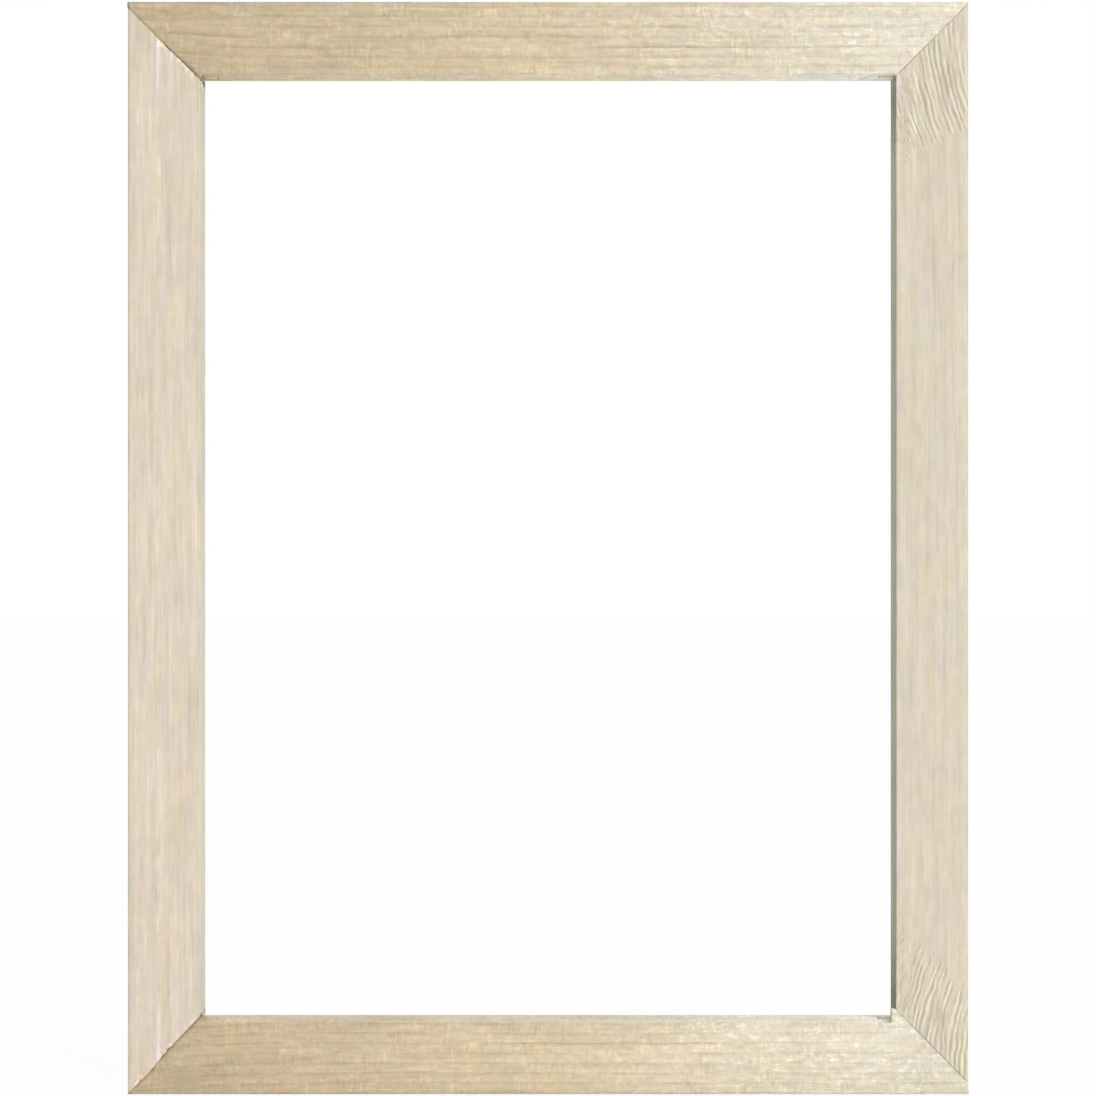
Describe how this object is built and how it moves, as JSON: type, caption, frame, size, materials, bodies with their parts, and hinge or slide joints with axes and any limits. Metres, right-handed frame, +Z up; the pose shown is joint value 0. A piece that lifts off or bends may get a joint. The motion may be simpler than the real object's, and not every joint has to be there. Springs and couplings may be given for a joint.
{
  "type": "canvas stretcher frame",
  "caption": "Upright wooden stretcher frame with mitred mortise and tenon corners that open as their wedge keys are driven in, to tension a canvas.",
  "frame": {"origin": "middle of the foot: centre of the width and of the thickness, at the underside of the bottom rail", "axes": "+X to the right seen from the front, +Y from the canvas side towards the back, +Z up"},
  "size_m": [0.5, 0.018, 0.65],
  "materials": {
    "rail_wood": "planed pale softwood, unfinished",
    "key_wood": "sawn hardwood, unfinished"
  },
  "bodies": {
    "bottom_rail": {"bottom_rail": "rail_wood"},
    "right_rail": {"right_rail": "rail_wood"},
    "top_rail": {"top_rail": "rail_wood"},
    "left_rail": {"left_rail": "rail_wood"},
    "bottom_rail_right_key": {"bottom_rail_right_key": "key_wood"},
    "bottom_rail_left_key": {"bottom_rail_left_key": "key_wood"},
    "right_rail_top_key": {"right_rail_top_key": "key_wood"},
    "right_rail_bottom_key": {"right_rail_bottom_key": "key_wood"},
    "top_rail_left_key": {"top_rail_left_key": "key_wood"},
    "top_rail_right_key": {"top_rail_right_key": "key_wood"},
    "left_rail_bottom_key": {"left_rail_bottom_key": "key_wood"},
    "left_rail_top_key": {"left_rail_top_key": "key_wood"}
  },
  "joints": [
    {"name": "left_rail_spread", "type": "slide", "parent": "bottom_rail", "child": "left_rail", "axis": [-0.7071, 0, 0.7071], "range_m": [0, 0.0025]},
    {"name": "right_rail_spread", "type": "slide", "parent": "bottom_rail", "child": "right_rail", "axis": [0.7071, 0, 0.7071], "range_m": [0, 0.0025]},
    {"name": "top_rail_spread", "type": "slide", "parent": "left_rail", "child": "top_rail", "axis": [0.7071, 0, 0.7071], "range_m": [0, 0.0025]},
    {"name": "bottom_rail_right_key_drive", "type": "slide", "parent": "bottom_rail", "child": "bottom_rail_right_key", "axis": [0.1644, 0, -0.9864], "range_m": [0, 0.01076]},
    {"name": "bottom_rail_left_key_drive", "type": "slide", "parent": "bottom_rail", "child": "bottom_rail_left_key", "axis": [-0.1644, 0, -0.9864], "range_m": [0, 0.01076]},
    {"name": "right_rail_top_key_drive", "type": "slide", "parent": "right_rail", "child": "right_rail_top_key", "axis": [0.9864, 0, 0.1644], "range_m": [0, 0.01076]},
    {"name": "right_rail_bottom_key_drive", "type": "slide", "parent": "right_rail", "child": "right_rail_bottom_key", "axis": [0.9864, 0, -0.1644], "range_m": [0, 0.01076]},
    {"name": "top_rail_left_key_drive", "type": "slide", "parent": "top_rail", "child": "top_rail_left_key", "axis": [-0.1644, 0, 0.9864], "range_m": [0, 0.01076]},
    {"name": "top_rail_right_key_drive", "type": "slide", "parent": "top_rail", "child": "top_rail_right_key", "axis": [0.1644, 0, 0.9864], "range_m": [0, 0.01076]},
    {"name": "left_rail_bottom_key_drive", "type": "slide", "parent": "left_rail", "child": "left_rail_bottom_key", "axis": [-0.9864, 0, -0.1644], "range_m": [0, 0.01076]},
    {"name": "left_rail_top_key_drive", "type": "slide", "parent": "left_rail", "child": "left_rail_top_key", "axis": [-0.9864, 0, 0.1644], "range_m": [0, 0.01076]}
  ],
  "couplings": [
    {"joint": "right_rail_spread", "follows": "left_rail_spread", "ratio": 1},
    {"joint": "top_rail_spread", "follows": "left_rail_spread", "ratio": 1},
    {"joint": "bottom_rail_right_key_drive", "follows": "left_rail_spread", "ratio": 4.3012},
    {"joint": "bottom_rail_left_key_drive", "follows": "left_rail_spread", "ratio": 4.3012},
    {"joint": "right_rail_top_key_drive", "follows": "left_rail_spread", "ratio": 4.3012},
    {"joint": "right_rail_bottom_key_drive", "follows": "left_rail_spread", "ratio": 4.3012},
    {"joint": "top_rail_left_key_drive", "follows": "left_rail_spread", "ratio": 4.3012},
    {"joint": "top_rail_right_key_drive", "follows": "left_rail_spread", "ratio": 4.3012},
    {"joint": "left_rail_bottom_key_drive", "follows": "left_rail_spread", "ratio": 4.3012},
    {"joint": "left_rail_top_key_drive", "follows": "left_rail_spread", "ratio": 4.3012}
  ]
}
